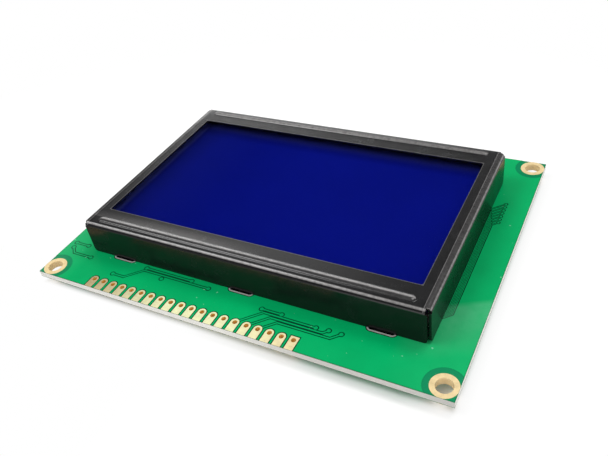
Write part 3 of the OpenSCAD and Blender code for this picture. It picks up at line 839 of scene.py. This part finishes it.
def model_dome(node, ripple):
    """Epoxy poured over a die: a flat-topped drop with an uneven rim."""
    lo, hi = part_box(node)
    radius, depth = (hi.x - lo.x) / 2, hi.z - lo.z

    # Profile from the rim inwards, in shares of the radius and of the height that leaves room for the ripple
    profile = [(1.0, 0.0), (0.985, 0.16), (0.94, 0.36), (0.85, 0.58), (0.7, 0.79), (0.5, 0.93), (0.25, 0.99)]
    height = 0.94 * depth
    rim_points = 48
    bpy.ops.mesh.primitive_circle_add(vertices=rim_points, radius=radius, fill_type="NGON",
                                      location=((lo.x + hi.x) / 2, (lo.y + hi.y) / 2, hi.z))
    piece = bpy.context.object
    settle()
    enter(piece)
    bpy.ops.mesh.select_mode(type="FACE")
    bpy.ops.mesh.select_all(action="SELECT")
    for (wide, start), (narrow, stop) in zip(profile, profile[1:]):
        bpy.ops.mesh.inset(thickness=radius * (wide - narrow))
        bpy.ops.transform.translate(value=(0, 0, -height * (stop - start)))
    bpy.ops.mesh.poke()
    face_outwards()
    leave()
    apply_modifier(piece, "SUBSURF", levels=2, render_levels=2)
    clouds = bpy.data.textures.new(node + "_ripple", "CLOUDS")
    clouds.noise_scale = 0.3 * radius
    apply_modifier(piece, "DISPLACE", texture=clouds, strength=ripple, mid_level=0.5)

    # Base on the board
    enter(piece)
    bpy.ops.mesh.select_mode(type="EDGE")
    bpy.ops.mesh.select_all(action="DESELECT")
    bpy.ops.mesh.select_non_manifold()
    bpy.ops.mesh.edge_face_add()
    face_outwards()
    leave()
    smooth(piece, SHARP)
    return piece


def model_softened(node, edge):
    """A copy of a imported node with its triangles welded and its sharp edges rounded."""
    # Angles in degrees: of faces that become one, of edges to round and of edges that stay sharp
    flat, rounded, sharp = 1, 35, 40
    piece = bpy.data.objects.new(node + "_soft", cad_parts[node].data.copy())
    bpy.context.scene.collection.objects.link(piece)
    enter(piece)
    bpy.ops.mesh.select_all(action="SELECT")
    bpy.ops.mesh.remove_doubles(threshold=2 * WELD)
    bpy.ops.mesh.customdata_custom_splitnormals_clear()
    bpy.ops.mesh.select_all(action="SELECT")
    bpy.ops.mesh.dissolve_limited(angle_limit=math.radians(flat))
    leave()
    apply_modifier(piece, "BEVEL", width=edge, segments=2, limit_method="ANGLE",
                   angle_limit=math.radians(rounded))
    smooth(piece, sharp)
    return piece


class DISPLAY_OT_board(bpy.types.Operator):
    """Finishes the circuit board"""
    bl_idname = "display.board"
    bl_label = "Board"

    def execute(self, context):
        dress("pcb", solder_mask(context.scene.display_colours))
        return {"FINISHED"}


class DISPLAY_OT_plating(bpy.types.Operator):
    """Finishes the plated pads, rings, rims and lands"""
    bl_idname = "display.plating"
    bl_label = "Plating"

    def execute(self, context):
        colours = context.scene.display_colours
        dress("mounting_rings", plate_metal("gold_ring", colours.gold, colours.bore, dull=0.3))
        # Header pads: plate with a painted glint in the middle of the row, duller at the left end and gold
        # at the right end
        gold = plate_metal("gold_pad", colours.pad, colours.pin_bore_shade, dull=0.3,
                           ends=(colours.pad_without_glint, colours.gold))
        for node in ("header_pads", "backlight_lands"):
            dress(node, gold)
        # Tinned slot rims, with painted shade on the walls inside the slots
        dress("slot_rims", plate_metal("tinned_rim", colours.tin, colours.slot, dull=0.45))
        return {"FINISHED"}


class DISPLAY_OT_bezel(bpy.types.Operator):
    """Models and paints the folded bezel"""
    bl_idname = "display.bezel"
    bl_label = "Bezel"

    def execute(self, context):
        piece = model_bezel(context.scene.display_bezel)
        hand_in(piece, "folded_bezel", "black_paint", black_paint(context.scene.display_colours), "bezel")
        return {"FINISHED"}


class DISPLAY_OT_cell(bpy.types.Operator):
    """Models the display cell: films, glass plates and the liquid crystal between them"""
    bl_idname = "display.cell"
    bl_label = "Display cell"

    def execute(self, context):
        sizes = context.scene.display_chips
        colours = context.scene.display_colours
        front_film = clear_layer("polarizer_film", colours.film, alpha=0.08, roughness=0.12)
        rear_film = clear_layer("rear_film", colours.film, alpha=0.6, roughness=0.3)
        layers = (
            ("front_polarizer", "polarizer", front_film),
            ("front_glass", "display_glass", bordered_glass(colours)),
            ("rear_glass", "display_glass", display_field(colours)),
            ("rear_polarizer", "polarizer", rear_film),
        )
        for node, slot, material in layers:
            piece = model_plate(node, sizes.glass_edge, sizes.glass_gap)
            hand_in(piece, node + "_plate", slot, material, node)
        return {"FINISHED"}


class DISPLAY_OT_backlight(bpy.types.Operator):
    """Finishes the connector strips and the backlight behind the cell"""
    bl_idname = "display.backlight"
    bl_label = "Backlight"

    def execute(self, context):
        colours = context.scene.display_colours
        white = moulding("white_resin", colours.resin, roughness=0.5, scale=0.8, contrast=0.04)
        clear = moulding("clear_acrylic", colours.acrylic, roughness=0.15, scale=0.4, contrast=0.03)
        bare = moulding("bare_laminate", colours.laminate, roughness=0.6, scale=3.0, contrast=0.08)
        rubber = moulding("elastomer", colours.rubber, roughness=0.7, scale=4.0, contrast=0.08)
        for node in ("backlight_frame", "diffuser_sheet", "reflector_sheet", "leds"):
            dress(node, white)
        dress("light_guide", clear)
        dress("led_board", bare)
        for node in ("front_connector_strip", "rear_connector_strip"):
            dress(node, rubber)
        return {"FINISHED"}


class DISPLAY_OT_chips(bpy.types.Operator):
    """Models the epoxy domes, chips and solder on the back of the board"""
    bl_idname = "display.chips"
    bl_label = "Chips"

    def execute(self, context):
        sizes = context.scene.display_chips
        colours = context.scene.display_colours
        epoxy = moulding("poured_epoxy", colours.epoxy, roughness=0.3, scale=0.5, contrast=0.2)
        for node in ("controller_dome", "left_driver_dome", "right_driver_dome"):
            hand_in(model_dome(node, sizes.dome_ripple), node + "_drop", "epoxy", epoxy, node)
        silicon = moulding("sawn_silicon", colours.silicon, roughness=0.25, scale=2.0, contrast=0.08)
        for node in ("controller_die", "driver_dies"):
            dress(node, silicon)
        tin = plate_metal("bright_solder", colours.tin, colours.tin, dull=0.3)
        black = moulding("black_glaze", colours.glaze, roughness=0.35, scale=3.0, contrast=0.15)
        tan = moulding("tan_ceramic", colours.ceramic, roughness=0.55, scale=3.0, contrast=0.08)
        softened = (
            ("chip_resistors", "black_ceramic", black), ("chip_capacitors", "tan_ceramic", tan),
            ("resistor_caps", "tin_solder", tin), ("capacitor_caps", "tin_solder", tin),
            ("chip_solder", "tin_solder", tin), ("backlight_pins", "tin_solder", tin),
        )
        for node, slot, material in softened:
            hand_in(model_softened(node, sizes.chip_edge), node + "_soft", slot, material, node)
        dress("backlight_solder", tin)
        return {"FINISHED"}


class DISPLAY_OT_stage(bpy.types.Operator):
    """Sets the floor, the light and the camera"""
    bl_idname = "display.stage"
    bl_label = "Stage"

    def execute(self, context):
        scene = context.scene
        stage = scene.display_stage
        scene.view_settings.view_transform = "Standard"
        self.lay_floor(stage)
        self.fill_world(scene, stage)
        self.hang_lamp("key_light", stage.key_power, (60, 66, 0), (0.2, 0.2))
        self.hang_lamp("left_light", stage.left_power, (204, 55, 0), (0.28, 0.3))
        self.hang_lamp("back_light", stage.back_power, (120, 18, -10), (0.38, 0.12))
        self.set_camera(scene, stage)
        return {"FINISHED"}

    def lay_floor(self, stage):
        """A white floor that keeps the shadow near the module, deepened by a painted contact shadow at the
        board's outline, and shows plain white elsewhere, painted over the shadow beside the module.
        """
        floor_size, floor_white = 6.0, (0.92, 0.92, 0.92, 1.0)
        bpy.ops.mesh.primitive_plane_add(size=floor_size)
        floor = bpy.context.object
        floor.name = "floor"
        finish = Finish(bpy.data.materials.new("white_floor"))
        place = finish.place()
        x, y, _ = finish.axes(place)
        past_x = abs(x) - board_hi.x / MM
        past_y = abs(y) - board_hi.y / MM
        away = past_x.most(past_y)

        # Matt white that takes the shadow, with a slight glow outside the board's outline; the glow fades
        # out at the outline, which paints a darker contact shadow
        glow_fade = (-0.7, 2.0)
        seen = finish.rays("Is Camera Ray", "Is Glossy Ray", "Is Transmission Ray")
        matt = finish.node("ShaderNodeBsdfDiffuse", None, {"Color": floor_white})
        glow = finish.node("ShaderNodeEmission", None, {"Strength": seen * stage.floor_glow})
        glowing = finish.node("ShaderNodeAddShader", None, {0: matt, 1: glow})
        near = finish.mix_shaders(finish.fade(away, *glow_fade), matt, glowing)

        # Plain white, dimmer for shiny faces and for the light that it throws back
        strength = seen - 0.75 * finish.rays("Is Glossy Ray") + 0.7 * finish.rays("Is Diffuse Ray")
        white = finish.node("ShaderNodeEmission", None, {"Strength": strength})

        # Plain white lies far off, and beside the module at the right and at the left front, where it is
        # painted over the module's shadow
        front, far_fade, outline_fade = (0, -60, 0), (100.0, 160.0), (-1.6, 0.4)
        right_fade, left_fade, left_front = (37.0, 47.6), (26.0, -8.0), (10.0, -30.0)
        reach = finish.node("ShaderNodeVectorMath", {"operation": "DISTANCE"}, {0: place, 1: front}, "Value")
        at_right = finish.spread(x, *right_fade, 0.0, 0.85)
        at_left = finish.fade(x, *left_fade) * finish.fade(y, *left_front)
        aside = (at_right + at_left) * finish.fade(away, *outline_fade)
        far = aside.most(finish.fade(reach, *far_fade))
        floor.data.materials.append(finish.end(finish.mix_shaders(far, near, white)))

    def fill_world(self, scene, stage):
        """White for the camera, a dimmer room for shiny faces, and soft light that fills the shade."""
        finish = Finish(bpy.data.worlds.new("soft_room"))
        way = finish.node("ShaderNodeTexCoord", output="Generated")
        _, along, up = finish.axes(way)

        # Room with a bright band low behind the module and a bright patch high behind it at the left
        patch_way, patch_fade = (-0.485, 0.578, 0.656), (0.974, 0.998)
        band_foot, band_rise, band_blur = (0.05, 0.12), 0.35, 0.08
        band = finish.spread(up, *band_foot, 0.1, 0.6)
        band = band * finish.fade(up - band_rise * along, band_blur, -band_blur)
        patch = finish.spread(finish.towards(way, patch_way), *patch_fade, 0.0, 0.8)
        room = stage.room + band + patch

        # Soft light, stronger from the front right and there most of all from low down
        front_right, low_fade, front_fade = (0.7, -0.6, 0.4), (0.0, 0.4), (-0.3, 0.4)
        front = finish.towards(way, front_right)
        fill = finish.spread(front, -1.0, 1.0, 0.5 * stage.fill, 1.5 * stage.fill)
        fill = fill + finish.spread(up, *low_fade, 1.5, 0.0) * finish.fade(front, *front_fade)

        shiny = finish.rays("Is Glossy Ray", "Is Transmission Ray")
        strength = finish.rays("Is Camera Ray") + shiny * room + finish.rays("Is Diffuse Ray") * fill
        sky = {"Color": (1.0, 1.0, 1.0, 1.0), "Strength": strength}
        back = finish.node("ShaderNodeBackground", None, sky)
        scene.world = finish.end(back, "ShaderNodeOutputWorld")

    def hang_lamp(self, name, watts, degrees, size):
        """A soft light that faces the module, placed by its azimuth from +X, its elevation and its roll."""
        distance = 0.6
        turn, rise, roll = (math.radians(value) for value in degrees)
        aim = Vector((math.cos(turn) * math.cos(rise), math.sin(turn) * math.cos(rise), math.sin(rise)))
        lamp = bpy.data.lights.new(name, "AREA")
        lamp.shape = "RECTANGLE"
        lamp.size, lamp.size_y = size
        lamp.energy = watts
        holder = bpy.data.objects.new(name, lamp)
        holder.location = aim * distance
        holder.rotation_euler = (aim.to_track_quat("Z", "Y").to_matrix()
                                 @ Matrix.Rotation(roll, 3, "Z")).to_euler()
        bpy.context.scene.collection.objects.link(holder)

    def set_camera(self, scene, stage):
        """The camera, turned by its angles and set at its place."""
        lens = bpy.data.cameras.new("camera")
        lens.sensor_fit = "HORIZONTAL"
        lens.sensor_width = SENSOR_WIDTH
        lens.lens = stage.focal_pixels * SENSOR_WIDTH / IMAGE_WIDTH
        lens.clip_start = 10 * MM
        camera = bpy.data.objects.new("camera", lens)
        turn = (Matrix.Rotation(stage.azimuth, 4, "Z")
                @ Matrix.Rotation(math.pi / 2 - stage.elevation, 4, "X")
                @ Matrix.Rotation(stage.roll, 4, "Z"))
        camera.matrix_world = Matrix.Translation(Vector(stage.place)) @ turn
        scene.collection.objects.link(camera)
        scene.camera = camera


OPERATORS = (
    DISPLAY_OT_board, DISPLAY_OT_plating, DISPLAY_OT_bezel, DISPLAY_OT_cell,
    DISPLAY_OT_backlight, DISPLAY_OT_chips, DISPLAY_OT_stage,
)

GROUPS = (
    ("display_bezel", BezelSizes), ("display_chips", ChipSizes),
    ("display_colours", FinishColours), ("display_stage", StageSettings),
)


class DISPLAY_PT_sidebar(bpy.types.Panel):
    """Lists the operators that make the module"""
    bl_label = "Display module"
    bl_space_type = "VIEW_3D"
    bl_region_type = "UI"
    bl_category = "Display"

    def draw(self, context):
        for operator in OPERATORS:
            self.layout.operator(operator.bl_idname)


def register():
    for name, group in GROUPS:
        bpy.utils.register_class(group)
        setattr(bpy.types.Scene, name, PointerProperty(type=group))
    for cls in (*OPERATORS, DISPLAY_PT_sidebar):
        bpy.utils.register_class(cls)


def unregister():
    for cls in (DISPLAY_PT_sidebar, *reversed(OPERATORS)):
        bpy.utils.unregister_class(cls)
    for name, group in reversed(GROUPS):
        delattr(bpy.types.Scene, name)
        bpy.utils.unregister_class(group)


def main():
    register()
    for operator in OPERATORS:
        group, name = operator.bl_idname.split(".")
        getattr(getattr(bpy.ops, group), name)()


if __name__ == "__main__":
    main()
